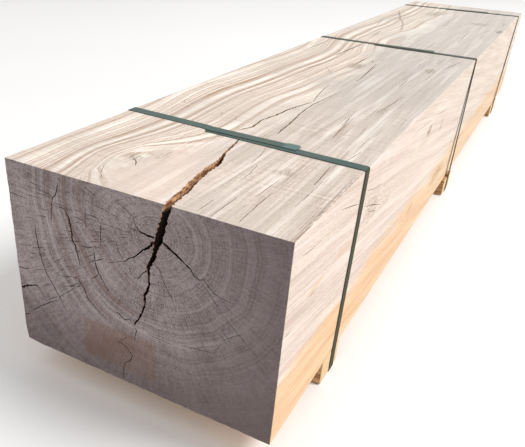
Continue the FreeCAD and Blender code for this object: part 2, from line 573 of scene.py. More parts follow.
def side_wood():
    """Right, left and under faces: pale, pinkish, with an orange foot."""
    wood = Wood("wood_side")
    height = wood.z - UNDERSIDE
    # the grain runs down towards the far end
    tilted = wood.join(wood.x, wood.y, wood.z + wood.y * SIDE_GRAIN_SLOPE)
    streak = wood.noise((8.0, 170.0, 3.5), detail=4.0, rough=0.65, place=tilted)
    band = wood.noise((30.0, 420.0, 16.0), detail=3.0, place=tilted)
    speck = wood.noise((2.0, 9.0, 1.2), place=tilted)
    cloud = wood.noise((60.0, 160.0, 60.0), detail=3.0)
    tone = wood.blend((streak, 1.8), (band, 1.8), (speck, 1.1), (wood.bands, 0.5))
    pale = wood.mix(tone, (196, 176, 160), (236, 223, 210))
    pink = wood.mix(tone, (202, 178, 168), (236, 220, 213))
    wood.color = wood.mix(wood.range(cloud, 0.3, 0.7), pale, pink)
    level = height + wood.swing(wood.noise((90.0, 110.0, 26.0), detail=3.0), 16.0)
    orange = wood.mix(tone, (216, 166, 116), (240, 202, 158))
    wood.tint(wood.range(level, 66.0, 96.0, 0.9, 0.0), orange)
    # greyer further back along the side
    greying_back = wood.range(wood.along, 0.0, 1200.0, 0.14, 0.44)
    wood.tint(greying_back, (192, 184, 170))
    on_right = wood.range(wood.x, 0.0, 60.0)
    # marks show most between the fibres
    fibre = wood.range(wood.blend((streak, 2.0), (speck, 2.0)), 0.8, 0.3, 0.3, 1.5)
    for y, z, reach_y, reach_z, strength in SIDE_SPOTS:
        mark = wood.spot(wood.along, y, reach_y, height, z, reach_z) * on_right
        wood.tint(mark * (fibre * strength), (140, 106, 80))
    for y, z, reach_y, reach_z in SIDE_PATCHES:
        mark = wood.spot(wood.along, y, reach_y, height, z, reach_z) * on_right
        wood.tint(mark * 0.5, (216, 178, 142))
    wood.bump(wood.blend((streak, 1.5), (speck, 1.0)), 0.5, 0.6)
    return wood.finish(0.75)


def top_wood():
    """Top face: tan streaks on cream at the left, greyer and saw-marked at the right."""
    wood = Wood("wood_top")
    wander = wood.swing(wood.noise((120.0, 260.0, 120.0)), 30.0)
    side = wood.range(wood.x + wander, -55.0, 35.0)
    streak = wood.noise((2.6, 120.0, 20.0), detail=4.0, rough=0.65)
    lane = wood.noise((9.0, 260.0, 20.0), detail=3.0, rough=0.6)
    speck = wood.noise((1.1, 8.0, 8.0))
    cloud = wood.noise((80.0, 150.0, 80.0), detail=3.0)
    # beside the knot the face is nearly free of rings
    plain = wood.spot(wood.x, -4.0, 50.0, wood.along, 70.0, 84.0, edge=0.5)
    ringed = 1.0 - plain * 0.85
    bands = (wood.bands - 0.5) * ringed + 0.5
    year = (wood.year - 0.4) * ringed + 0.5
    left = wood.blend((bands, 3.3), (year, -0.5), (streak, 1.3), (speck, 0.9))
    right = wood.blend((streak, 1.5), (lane, 1.3), (bands, 0.6), (speck, 1.1))
    color_left = wood.mix(left, (184, 155, 133), (253, 244, 233))
    color_right = wood.mix(right, (180, 164, 153), (240, 226, 216))
    wood.color = wood.mix(side, color_left, color_right)
    saw = wood.noise((300.0, 2.0, 30.0), detail=3.0, rough=0.7)
    rows = wood.noise((400.0, 70.0, 90.0), detail=1.0)
    ridged = wood.range(rows, 0.42, 0.62, 0.1, 0.5)
    wood.tint(wood.range(saw, 0.5, 0.7) * ridged, (166, 146, 132))
    wood.tint(wood.range(saw, 0.46, 0.3) * ridged, (250, 240, 230))
    wood.tint(wood.range(lane, 0.53, 0.7, 0.0, 0.7) * side, (250, 243, 236))
    wood.tint(plain * 0.5, (238, 218, 206))
    wood.tint(wood.range(cloud, 0.42, 0.66, 0.0, 0.5), (206, 194, 184))
    faded = wood.range(wood.along, 200.0, 650.0, 0.0, 0.5) * side
    wood.tint(faded, (186, 181, 175))
    bleached = wood.range(wood.along, 600.0, 1300.0, 0.0, 0.3)
    wood.tint(bleached, (214, 210, 204))
    wood.tint(wood.attribute("stain") * 0.75, (136, 112, 92))
    fibre = wood.range(wood.blend((streak, 2.0), (speck, 2.0)), 0.8, 0.3, 0.15, 1.5)
    for x, y, reach_x, reach_y, strength in TOP_SMUDGES:
        mark = wood.spot(wood.x, x, reach_x, wood.along, y, reach_y)
        wood.tint(mark * (fibre * strength), (132, 114, 92))
    # a brown edge along the right arris, as far as the first strap
    edge = wood.range(wood.x, RIGHT - 6.0, RIGHT - 2.5) * fibre
    wood.tint(wood.range(wood.along, 240.0, 150.0, 0.0, 0.45) * edge, (132, 104, 84))
    wood.bump(wood.blend((streak, 1.2), (saw, 0.9), (speck, 0.6)), 0.5, 0.7)
    return wood.finish(0.75)


def end_wood():
    """Weathered end grain: grey brown, with brown bands, a less faded patch and painted shade towards the
    foot, the right and the top.
    """
    wood = Wood("wood_end")
    rise = wood.z - UNDERSIDE
    spin = wood.join(wood.angle * 46.0, wood.radius / 30.0, 0.0)
    rays = wood.noise((1, 1, 1), detail=3.0, rough=0.6, place=spin)
    pores = wood.noise((1.3, 1.3, 1.3))
    blotch = wood.noise((42.0, 42.0, 42.0), detail=4.0, rough=0.6)
    fine = wood.line_noise(wood.radius / 1.6, detail=1.0)
    grit = wood.noise((4.0, 4.0, 4.0), detail=3.0, rough=0.7)
    inner = wood.range(wood.radius, 8.0, 80.0, 0.1, 1.0)
    bands = (wood.bands - 0.5) * inner + 0.5
    tone = wood.blend((bands, 0.5), (wood.zones, 0.35), (wood.year, -0.13), (rays, 1.0),
                      (fine, 0.6), (pores, 1.5), (grit, 0.8), (blotch, 0.9))
    wood.color = wood.mix(tone, (104, 90, 89), (176, 163, 163))
    radius = wood.math("MAXIMUM", wood.radius, 1.0)
    rightward = (wood.x - PITH_X) / radius
    upward = (rise - PITH_RISE) / radius
    for ring, half, turn, tint, strength in END_ARCS:
        direction = math.radians(turn)
        facing = rightward * math.cos(direction) + upward * math.sin(direction)
        gap = wood.math("ABSOLUTE", wood.radius - ring)
        share = wood.range(gap, 0.0, half, strength, 0.0) * wood.range(facing, 0.45, 0.9)
        wood.tint(share, tint)
    ghost = wood.box_mask(wood.x, *LABEL_X, rise, *LABEL_RISE, 3.5)
    ghost = ghost * wood.range(wood.along, 100.0, 200.0, 1.0, 0.0)
    worn = wood.range(blotch, 0.3, 0.6, 0.68, 0.4)
    wood.tint(ghost * worn, (142, 104, 84))
    # painted shade: the end grain is darkened towards the foot, the right and the top
    wood.tint(wood.range(rise, 130.0, 0.0, 0.0, 0.6), (94, 82, 80))
    wood.tint(wood.range(wood.x, 10.0, RIGHT, 0.0, 0.68), (102, 90, 89))
    wood.tint(wood.range(rise, 205.0, 250.0, 0.0, 0.1), (104, 92, 92))
    wood.bump(wood.blend((wood.year, 0.5), (rays, 1.0), (pores, 1.2)), 0.4, 0.7)
    return wood.finish(0.85, specular=0.2)


def crack_wood():
    """Walls of the narrow checks, painted dark brown for the shade inside them."""
    wood = Shader("wood_check")
    grain = wood.noise((2.0, 9.0, 2.0), detail=3.0)
    # painted shade: dark brown walls, for the shade down in the checks
    wood.color = wood.mix(wood.range(grain, 0.3, 0.7), (46, 32, 26), (84, 60, 46))
    # the checks in the top are shallow, and brown where the light gets in
    wood.tint(wood.range(wood.z, TOP - 7.0, TOP - 1.0, 0.0, 0.7), (134, 102, 78))
    return wood.finish(0.9, specular=0.1)


def cleft_wood():
    """Fresh orange-brown walls of the main cleft, with painted shade that darkens them with depth."""
    wood = Shader("wood_cleft")
    grain = wood.noise((1.5, 22.0, 3.0), detail=4.0, rough=0.65)
    wood.color = wood.mix(wood.range(grain, 0.35, 0.65), (112, 74, 50), (216, 168, 126))
    # painted shade: the walls turn dark brown deeper in the cleft
    wood.tint(wood.range(wood.attribute("depth"), 4.0, 21.0), (38, 26, 21))
    wood.bump(grain, 0.8, 0.8)
    return wood.finish(0.85, specular=0.15)


# ---- the post's form

# main cleft on the front end, from the top down: height above the underside, middle, width
CLEFT_ON_END = [
    (250, 41.5, 8.5), (238, 38.5, 9), (226, 35, 9.5), (216, 32.5, 9), (209, 30.5, 11.5),
    (203, 28.5, 9), (195, 26, 6.5), (187, 24.5, 6), (180, 21.5, 5.5), (170, 17, 4.5),
    (162, 17.5, 3), (150, 18.5, 3.2), (142, 16, 3.8), (136, 12.5, 3.2), (128, 12, 4),
    (124, 12.8, 2.2), (110, 8.5, 2.4), (100, 4, 2.4), (93, -1, 2.8), (89, -2.5, 0),
]
# and on the top, from the front end back: distance along, middle, width
CLEFT_ON_TOP = [
    (0, 41.5, 8.5), (12, 39.5, 9.5), (25, 37.5, 10), (38, 36.5, 10), (50, 34.5, 9),
    (62, 32, 8.5), (75, 29.8, 8.5), (90, 27.5, 8.5), (105, 26.5, 9.5), (118, 26, 9.5),
    (130, 25, 8), (140, 22.5, 5.5), (150, 20, 4), (162, 16.5, 3), (175, 14, 3.2),
    (187, 12.5, 3), (200, 10.5, 2.6), (212, 8, 2.6), (224, 5, 2), (235, 2, 0),
]
CLEFT_STATIONS = 84
CLEFT_WALL_STEPS = 14

# checks in the front end: (x from the middle, height above the underside, width) along each
CLEFT_CHECKS = [
    ("left", [(22, 209, 2.6), (14, 210, 2.1), (6, 212, 1.5), (2, 217.5, 0.7), (0, 225, 0.6),
              (-12, 233, 0.5), (-25, 239.5, 0.3)]),
    ("left", [(24, 203, 3.2), (21, 198, 2.6), (11, 191, 1.9), (5.5, 184.5, 1.6), (0, 179, 1.3),
              (-7, 175, 1.1), (-12.5, 169.5, 0.9), (-25, 164.5, 0.6), (-37, 159.5, 0.4)]),
    ("right", [(36, 206.5, 3), (45, 201, 2.6), (54, 196, 2.2), (62.5, 190.5, 1.9), (69, 187.5, 1.4),
               (72.5, 181, 1.1), (79, 177.5, 1), (84, 180, 0.8), (89, 175, 0.8), (97.5, 167.5, 0.7),
               (107.5, 165, 0.6), (121, 164, 0.4)]),
    ("right", [(23, 179, 0.8), (32.5, 172.5, 0.7), (36, 162.5, 0.7), (44, 147.5, 0.6), (51, 137.5, 0.3)]),
    ("left", [(15, 167, 1.3), (9, 161, 1.1), (5.5, 155, 0.9), (0, 152.5, 0.8), (-5, 157, 0.6),
              (-8, 164, 0.4)]),
]
END_CHECKS = [
    [(5, 210.5, 0.9), (-3, 212, 0.8), (-8, 214, 0.4)],
    [(-4, 206, 0.4), (-25, 206, 0.5), (-45, 207, 0.4), (-65, 207, 0.3)],
    [(-23, 190, 0.5), (-22, 182.5, 0.8), (-15, 170.5, 0.5)],
    [(-37, 189, 0.4), (-23, 190, 0.5)],
    [(80, 177, 0.4), (92, 166, 0.4), (103, 151, 0.4), (125, 131, 0.4), (148, 112, 0.35), (168, 94, 0.3)],
    [(-2.5, 87, 0.8), (1, 84, 1), (-1, 77.5, 0.9), (-2, 67.5, 0.4)],
    [(-11, 70, 0.4), (-17.5, 64, 0.6), (-27.5, 56, 0.5)],
    [(-27.5, 55, 0.5), (-20, 57, 0.8), (-12.5, 52.5, 0.8), (-6, 45, 0.8), (-8, 37.5, 0.9), (-16, 30, 0.8),
     (-19, 20, 0.8), (-19.5, 2.5, 0.6)],
    [(-27, 99, 2), (-22, 97, 1), (-15, 92.5, 0.9), (-9, 95.5, 0.8), (-3.5, 91.5, 0.6)],
    [(-92.5, 209, 0.7), (-87.5, 201, 1.6), (-84.5, 185, 1.9), (-85, 176, 1.7), (-80.5, 167.5, 1.8),
     (-79, 157.5, 1.5), (-75, 142.5, 0.9)],
    [(-75, 169, 0.6), (-65, 171, 0.6), (-56, 172, 0.7)],
    [(-55.5, 172, 0.8), (-54, 162.5, 1.1), (-52.5, 150, 1.3), (-47.5, 139, 1.2), (-40, 127.5, 1),
     (-35, 122.5, 0.6)],
    [(-61, 155.5, 0.6), (-54, 156, 0.7)],
    [(-139, 177.5, 0.7), (-139, 162.5, 1.1), (-137, 150, 1.3), (-134, 130, 1.3), (-127.5, 114, 1.2),
     (-119, 100, 1.2), (-112.5, 90, 1), (-102.5, 71, 0.4)],
    [(-99, 236, 1.5), (-102.5, 225, 1.2), (-109, 216, 1), (-111, 205, 1.1), (-112.5, 189, 0.5)],
    [(-42.5, 205, 0.6), (-44, 192.5, 0.8), (-45, 177.5, 0.4)],
    [(-62.5, 220, 0.4), (-64, 205, 0.6), (-64, 190, 0.4)],
    [(-80.5, 127.5, 0.8), (-77, 120, 1.2), (-72, 114, 1.2), (-67.5, 102.5, 1.1), (-60, 96, 0.8),
     (-50, 87.5, 0.8), (-39, 82.5, 0.5)],
    [(-174.2, 80, 2.6), (-162.5, 86, 2.2), (-152.5, 90, 1.6), (-145.5, 92, 1), (-137.5, 80, 0.7),
     (-132.5, 72, 0.4)],
    [(-174.2, 110, 1.3), (-162.5, 110, 1), (-154, 114, 0.4)],
    [(-145, 115, 0.5), (-130, 119.5, 0.6)],
    [(-174.2, 209, 0.8), (-160, 207.5, 0.7), (-145, 207, 0.4)],
    [(-107.5, 119, 0.5), (-87.5, 124, 0.6), (-80, 127, 0.4)],
    [(-105, 106, 0.5), (-92.5, 110, 0.6), (-76, 115, 0.4)],
    [(-159, 50, 0.7), (-147.5, 60, 0.9), (-132.5, 71, 0.9), (-120, 79, 0.8), (-112.5, 81, 0.5)],
    [(-174.2, 37.5, 1.1), (-170, 41, 0.9), (-162.5, 44, 0.4)],
    [(-79, 2.5, 0.8), (-74, 12.5, 0.5)],
    [(15, 85, 0.4), (32, 84, 0.7), (50, 83, 0.5)],
    [(61, 88, 0.4), (77.5, 91, 0.6), (100, 94, 0.4), (107.5, 108, 0.3)],
    [(107, 112, 0.4), (116, 120, 0.7), (125, 127.5, 0.6), (131, 130, 0.4)],
]
# checks in the top: (x from the middle, distance along, width)
TOP_CHECKS = [
    [(-10, 243, 1.2), (-6, 259, 2.2), (-2, 270, 2.4), (-2.5, 287, 2.2), (-5, 303, 2), (-3, 316, 2),
     (0, 332, 2.6), (2.5, 350, 2.6), (4.5, 375, 2.7), (9, 400, 2.3), (17.5, 437, 1)],
    [(37.5, 262, 0.9), (35, 287, 1.7), (34, 305, 1.8), (30.5, 335, 1.7), (26, 367, 1.8), (24, 400, 1.7),
     (23.5, 425, 1.6), (26, 460, 1.3), (29, 500, 1.1), (32.5, 530, 0.6)],
    [(18, 440, 0.6), (10, 480, 1.1), (4, 520, 1.2), (0, 560, 0.7)],
    [(136, 197, 0.5), (137.5, 175, 0.9), (139.5, 150, 1), (140.5, 132, 0.5)],
    [(145, 222, 0.4), (147.5, 245, 0.8), (150, 268, 0.4)],
    [(47.5, 210, 0.4), (54, 180, 0.7), (57.5, 146, 0.4)],
    [(65, 149, 0.4), (69, 125, 0.7), (70, 93, 0.4)],
    [(112, 92, 0.4), (112.5, 50, 0.9), (114.5, 8, 0.5)],
    [(87.5, 57, 0.4), (87.2, 30, 0.7), (87, 1.5, 0.6)],
    [(71, 39, 0.4), (71, 20, 0.7), (71, 5, 0.4)],
    [(104, 124, 0.3), (103, 100, 0.6), (102.5, 73, 0.3)],
    [(91, 399, 0.4), (96, 362, 0.8), (100, 325, 0.8), (102.5, 293, 0.4)],
    [(-65, 88, 0.5), (-57, 83, 1.2), (-51, 76, 1.3), (-44, 66, 0.5)],
    [(-80, 77, 0.3), (-75, 50, 0.5), (-62, 28, 0.5), (-50, 15, 0.3)],
    [(-41, 297, 0.4), (-36, 288, 0.6), (-31, 280, 0.4)],
    [(-67.5, 305, 0.3), (-60, 290, 0.4)],
    [(-142, 325, 0.3), (-132, 307, 0.4)],
    [(-72.5, 978, 0.8), (-71, 925, 2), (-74, 875, 2.2), (-75, 805, 0.8)],
    [(-67.5, 728, 0.5), (-75, 668, 1.4), (-77, 650, 0.5)],
    [(-16, 813, 0.8), (-15, 780, 1.8), (-17.5, 757, 0.8)],
    [(2.5, 807, 0.6), (4, 798, 1.4), (7, 787, 0.6)],
    [(16.5, 783, 0.6), (20, 740, 1.1), (26, 680, 1.2), (29, 650, 1), (31, 615, 0.6)],
    [(152.5, 924, 0.5), (145, 875, 1.4), (135, 816, 0.6)],
    [(102.5, 688, 0.5), (102.5, 658, 1), (102.5, 626, 0.5)],
    [(125, 565, 0.4), (122.5, 510, 0.9), (115, 446, 0.4)],
    [(87.5, 435, 0.3), (92, 390, 0.7), (95, 346, 0.3)],
    [(-52.5, 685, 0.4), (-37.5, 660, 0.8), (-22.5, 635, 0.4)],
    [(-90, 1180, 0.7), (-86, 1130, 1.8), (-84, 1075, 0.8)],
    [(100, 1355, 0.5), (101, 1250, 1.2), (105, 1145, 0.5)],
    [(140, 1425, 0.5), (136, 1385, 1), (130, 1345, 0.5)],
    [(-145, 1430, 0.4), (-135, 1335, 1), (-120, 1230, 0.4)],
    [(60, 1120, 0.4), (62, 1060, 0.9), (58, 1000, 0.4)],
    [(20, 1500, 0.5), (24, 1430, 1.1), (22, 1380, 0.5)],
]
# checks in the right side: (distance along, height above the underside, width)
SIDE_CHECKS = [
    [(24, 224, 0.3), (50, 220, 0.6), (80, 217, 0.3)],
    [(132, 230, 0.3), (165, 221, 0.8), (206, 209, 0.4)],
    [(232, 216, 0.4), (262, 208, 0.7), (302, 201, 0.3)],
    [(238, 193, 0.5), (268, 184, 0.9), (312, 168, 0.4)],
    [(250, 182, 0.3), (275, 172, 0.6), (298, 165, 0.3)],
    [(5, 143, 0.4), (12, 142, 0.7), (21, 141, 0.3)],
    [(470, 226, 0.3), (520, 221, 0.6), (580, 217, 0.3)],
    [(640, 212, 0.3), (690, 206, 0.6), (730, 202, 0.3)],
]
# brown streaks on the top: (x, distance along, width)
TOP_STREAKS = [
    [(-154, 1610, 3), (-140, 1550, 9), (-120, 1485, 9), (-100, 1410, 8), (-80, 1360, 8), (-55, 1250, 7),
     (-45, 1190, 3)],
    [(-70, 990, 3), (-70, 930, 6), (-74, 870, 7), (-76, 800, 4)],
    [(-150, 1020, 3), (-144, 900, 6), (-146, 780, 3)],
    [(96, 400, 2), (100, 340, 4), (103, 290, 2)],
    [(20, 790, 3), (26, 700, 6), (30, 610, 3)],
]


def short_checks():
    """Short checks across the rings of the front end.

    They lie like courses of brick at the left, and fan out as hairlines under the pith.
    """
    rng = random.Random(5)
    groups = (
        # count, ring radius, direction in degrees, length, width
        (84, (64, 192), (160, 222), (7, 22), (0.4, 0.75)),
        (44, (44, 118), (268, 332), (8, 20), (0.22, 0.4)),
        (26, (30, 80), (150, 215), (4, 12), (0.3, 0.5)),
    )
    paths = []
    for count, radii, turns, lengths, widths in groups:
        for _ in range(count):
            radius = rng.uniform(*radii)
            turn = math.radians(rng.uniform(*turns))
            length = rng.uniform(*lengths)
            lean = turn + rng.uniform(-0.14, 0.14)
            width = rng.uniform(*widths)
            path = []
            for share, part in ((0, 0.6), (0.5, 1.0), (1, 0.5)):
                x = PITH_X + radius * math.cos(turn) + share * length * math.cos(lean)
                rise = PITH_RISE + radius * math.sin(turn) + share * length * math.sin(lean)
                path.append((x, rise, part * width))
            if all(abs(x) < 170 and 5 < rise < 245 for x, rise, _ in path):
                paths.append(path)
    return paths


def fine_top_checks():
    """Hairlines along the grain, most of them on the right of the top."""
    rng = random.Random(8)
    paths = []
    for number in range(88):
        x = rng.uniform(-20, 168)
        # the last of them are crowded near the front end
        start = rng.uniform(8, 1800 if number < 64 else 420)
        far = 1 + start / 3200
        length = rng.uniform(25, 85) * far
        lean = rng.uniform(-0.05, 0.02)
        width = rng.uniform(0.22, 0.46) * far
        clear = x > 52 or start > 450
        if clear and start + length < 1890:
            paths.append([
                (x, start, width / 2), (x + lean * length * 0.5, start + length / 2, width),
                (x + lean * length, start + length, width / 2),
            ])
    return paths


def cleft_lines(stations, seed):
    """Left and right rims of the cleft on one face, evenly spaced with a little tearing."""
    rng = random.Random(seed)
    stations = np.array(stations, float)
    steps = np.hypot(np.diff(stations[:, 0]), np.diff(stations[:, 1]))
    run = np.concatenate([[0.0], np.cumsum(steps)])
    at = np.linspace(0, run[-1], CLEFT_STATIONS + 1)
    along, middle, width = (np.interp(at, run, stations[:, k]) for k in range(3))
    left = middle - width / 2
    right = middle + width / 2
    for i in range(1, CLEFT_STATIONS):
        tear = min(1.1, 0.22 * width[i])
        left[i] += rng.uniform(-tear, tear)
        right[i] += rng.uniform(-tear, tear)
    return along, left, right


def post_radius(points):
    """Radius of the arrises: worn most along the lower left one and up the far right one."""
    low, high = POST_LOW, POST_HIGH
    radius = 1.6 + 0.9 * value_noise(points, 34.0, 1) + 1.1 * value_noise(points, 8.0, 2)
    foot = np.hypot(points[:, 0] - low[0], points[:, 2] - low[2])
    radius += 2.6 * smoothstep(24.0, 8.0, foot)
    far = np.hypot(points[:, 0] - high[0], points[:, 1] - high[1])
    radius += (2.0 + 1.5 * value_noise(points, 12.0, 3)) * smoothstep(14.0, 3.0, far)
    return np.clip(radius, 0.7, 8.0)


# the knot in the top: x and distance along, reach each way, depth of its hollow
KNOT_PLACE = (-60.0, 88.0)
KNOT_REACH = (16.0, 13.0)
KNOT_DEPTH = 1.6


def post_relief(points):
    """Depth of the sawn surface's unevenness."""
    swell = 0.35 * value_noise(points, (70.0, 260.0, 70.0), 4)
    ripple = 0.12 * value_noise(points, (40.0, 9.0, 40.0), 5)
    x = (points[:, 0] - KNOT_PLACE[0]) / KNOT_REACH[0]
    y = (points[:, 1] - POST_LOW[1] - KNOT_PLACE[1]) / KNOT_REACH[1]
    on_top = points[:, 2] > POST_HIGH[2] - 1.0
    knot = KNOT_DEPTH * np.exp(-x ** 2 - y ** 2) * on_top
    return 0.45 + swell + ripple + knot


# spacing of the post's points across, along and up
POST_STEPS = (4.4, 9.0, 4.8)
# the post's material numbers
END, UPPER, SIDE, CHECK, CLEFT = range(5)


def make_post(materials):
    post = Timber(POST_LOW, POST_HIGH, POST_STEPS, post_radius, post_relief, seed=11)
    half = POST_SIZE[0] / 2
    rise, end_left, end_right = cleft_lines(CLEFT_ON_END, seed=21)
    along, top_left, top_right = cleft_lines(CLEFT_ON_TOP, seed=22)
    end_notch = np.concatenate([
        np.stack([end_left + half, rise], axis=1),
        np.stack([end_right + half, rise], axis=1)[-2::-1],
    ])
    top_notch = np.concatenate([
        np.stack([top_left + half, along], axis=1),
        np.stack([top_right + half, along], axis=1)[-2::-1],
    ])

    def on_post(paths, seed, depth=None, rough=1.0):
        moved = [[(x + half, v, width) for x, v, width in path] for path in paths]
        return [Crack(path, depth, rough, seed + n) for n, path in enumerate(moved)]

    end_checks = on_post(END_CHECKS, seed=100, rough=1.5) + on_post(short_checks(), seed=300)
    for number, (side, path) in enumerate(CLEFT_CHECKS):
        sign, rim = (-1, end_left) if side == "left" else (1, end_right)
        x, start, width = path[0]
        # the check starts just off the cleft's torn rim
        near = np.abs(rise - start) < width / 2 + 2.5
        edge = rim[near].min() if sign < 0 else rim[near].max()
        moved = [(edge + sign * 0.35, start, width)] + path[1:]
        moved = [(x + half, v, width) for x, v, width in moved]
        end_checks.append(Crack(moved, seed=600 + number, open_start=True))
    top_checks = on_post(TOP_CHECKS, seed=200) + on_post(fine_top_checks(), seed=400)
    streaks = on_post(TOP_STREAKS, seed=500, depth=1.0)
    post.add_face("front", END, CHECK, end_checks, end_notch)
    post.add_face("back", END, CHECK)
    post.add_face("top", UPPER, CHECK, top_checks, top_notch, streaks)
    post.add_face("bottom", SIDE, CHECK)
    side_checks = [Crack(path, seed=700 + n) for n, path in enumerate(SIDE_CHECKS)]
    post.add_face("right", SIDE, CHECK, side_checks)
    post.add_face("left", SIDE, CHECK)
    add_cleft_walls(post, (rise, end_left, end_right), (along, top_left, top_right), half)
    return post.build("post_timber", materials)


def add_cleft_walls(post, end, top, half):
    """Two torn walls from the rim on the end to the rim on the top, meeting at the back."""
    rise, along = end[0], top[0]
    gap = np.minimum(end[2] - end[1], top[2] - top[1])
    share = np.linspace(0, 1, CLEFT_WALL_STEPS + 1)
    for side in (1, 2):
        on_end = post.on_face("front", np.stack([end[side] + half, rise], axis=1))
        on_top = post.on_face("top", np.stack([top[side] + half, along], axis=1))
        on_end, _ = post.surface(on_end)
        on_top, _ = post.surface(on_top)
        rows = on_end[:, None] * (1 - share)[None, :, None] + on_top[:, None] * share[None, :, None]
        run = np.linalg.norm(on_top - on_end, axis=1)[:, None]
        below_top = run * (1 - share)[None, :]
        behind_end = run * share[None, :]
        loose = np.minimum(np.minimum(below_top, behind_end) / 5.0, 1.0)
        flat = rows.reshape(-1, 3)
        torn = value_noise(flat, (30.0, 26.0, 7.0), 6) + 0.6 * value_noise(flat, (9.0, 14.0, 3.0), 7)
        flat[:, 0] += torn * 0.16 * (gap[:, None] * loose).ravel()
        if side == 1:
            # the left wall leans out under the rim, so that it catches the light
            lean = 0.62 * gap[:, None] * (1 - np.exp(-below_top / 7.0)) * np.minimum(behind_end / 14.0, 1)
            flat[:, 0] += lean.ravel()
        columns = len(share)
        faces = []
        for i in range(len(rise) - 1):
            for j in range(columns - 1):
                a = i * columns + j
                face = (a, a + 1, a + columns + 1, a + columns)
                faces.append(face if side == 2 else face[::-1])
        # depth below the top, kept as the depth attribute that the cleft's material turns into painted
        # shade
        shade = np.maximum(below_top.ravel(), 2.4 * (POST_HIGH[2] - flat[:, 2]) - 6.0)
        post.add(flat, faces, [CLEFT] * len(faces), shade, np.zeros(len(flat)))


# ---- bearers

# spacing of a batten's points along it, across it and up
BATTEN_STEPS = (6.0, 4.0, 3.0)
# how far below the floor the battens' heart lies, and how wide their rings are
HEART_BELOW = 30.0
BATTEN_RING = 5.0


def make_bearer(name, seed, materials):
    low, high = box_mm(name)

    def radius(points):
        return np.clip(1.5 + 0.8 * value_noise(points, 20.0, seed), 0.5, 3.5)

    def relief(points):
        return 0.35 + 0.25 * value_noise(points, (60.0, 14.0, 14.0), seed + 1)

    block = Timber(low, high, BATTEN_STEPS, radius, relief, seed)
    for face in FACES:
        # long grain, or end grain at both ends
        slot = 1 if face in ("left", "right") else 0
        block.add_face(face, slot, slot)
    return block.build(name + "_batten", materials)


def batten_wood(name, end):
    """Rough softwood: long grain, or end grain with rings round a heart below."""
    wood = Shader(name)
    if end:
        # a heart under each batten, off its middle by a different amount
        across = wood.math("PINGPONG", wood.y, 120.0)
        rise = wood.z + HEART_BELOW
        radius = wood.math("SQRT", across * across + rise * rise)
        year = wood.math("FRACT", radius / BATTEN_RING)
        fine = wood.noise((3.0, 1.2, 1.2), detail=3.0)
        wood.color = wood.mix(wood.range(fine, 0.3, 0.7), (238, 216, 178), (210, 180, 136))
        wood.tint(wood.range(year, 0.4, 0.95, 0.0, 0.55), (176, 132, 88))
    else:
        fine = wood.noise((120.0, 3.0, 3.0), detail=4.0, rough=0.6)
        wood.color = wood.mix(wood.range(fine, 0.35, 0.65), (206, 166, 120), (150, 108, 72))
    wood.bump(fine, 0.5, 0.7)
    return wood.finish(0.8)


# ---- straps

STRAP_WIDTH = 15.5
STRAP_THICKNESS = 0.9
# the band's broad side lies this far inside the CAD band
CLEARANCE = 0.02
# the welded overlap on top
UNDER_END_X = -42.0
STEP_UP_LENGTH = 6.0
UPPER_END_X = 84.0
WELD_START = 21.0
WELD_SPREAD = 3.0
BEND_RADIUS = 2.4
# corners flatter than this, in radians, stay sharp
LEAST_BEND = 0.3
EMBOSS_PITCH = 2.4
EMBOSS_WIDTH = 2.2
EMBOSS_DEPTH = 0.13
# the plain border of the embossing
BORDER_WIDTH = 0.9
BORDER_DEPTH = 0.12
# faces across the band
ACROSS = 24


def cad_points(node):
    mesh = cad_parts[node].data
    points = np.zeros(len(mesh.vertices) * 3)
    mesh.vertices.foreach_get("co", points)
    return points.reshape(-1, 3) / MM


def middle_y(points, x, z):
    """Middle of the band where the CAD strap has a corner at (x, z)."""
    near = points[np.hypot(points[:, 0] - x, points[:, 2] - z) < 0.3]
    return (near[:, 1].min() + near[:, 1].max()) / 2


def strap_route(name):
    """Corners (x, z, y) of the band's inner side, from its under end to its upper end."""
    points = cad_points("strap_" + name)
    bearer_low, bearer_high = box_mm("bearer_" + name)
    left, right = bearer_low[0], bearer_high[0]
    bottom, mid, top = bearer_low[2], POST_LOW[2], POST_HIGH[2]
    upper = points[:, 2].max() - STRAP_THICKNESS
    spots = [
        (UNDER_END_X, top), (POST_HIGH[0], top), (right, mid), (right, bottom),
        (left, bottom), (left, mid), (POST_LOW[0], top), (UNDER_END_X - STEP_UP_LENGTH, top),
        (UNDER_END_X, upper), (UPPER_END_X, upper),
    ]
    return [(x, z, middle_y(points, x, z)) for x, z in spots]


def rounded_route(route, step):
    """The route as closely spaced points, its sharp corners turned into bends."""
    corners = [np.array(corner) for corner in route]
    path = [corners[0]]
    for before, corner, after in zip(corners, corners[1:], corners[2:]):
        into, out = corner - before, after - corner
        length_in, length_out = np.linalg.norm(into[:2]), np.linalg.norm(out[:2])
        turn = math.acos(np.clip(into[:2] @ out[:2] / length_in / length_out, -1, 1))
        reach = BEND_RADIUS * math.tan(turn / 2) if turn > LEAST_BEND else 0.0
        reach = min(reach, 0.4 * length_in, 0.4 * length_out)
        if reach < 0.2:
            path.append(corner)
            continue
        start = corner - into / length_in * reach
        end = corner + out / length_out * reach
        for share in np.linspace(0, 1, 7):
            path.append((1 - share) ** 2 * start + 2 * share * (1 - share) * corner + share ** 2 * end)
    path.append(corners[-1])
    path = np.array(path)
    run = np.concatenate([[0.0], np.cumsum(np.linalg.norm(np.diff(path[:, :2], axis=0), axis=1))])
    at = np.unique(np.concatenate([np.arange(0, run[-1], step), run]))
    return at, np.stack([np.interp(at, run, path[:, k]) for k in range(3)], axis=1)


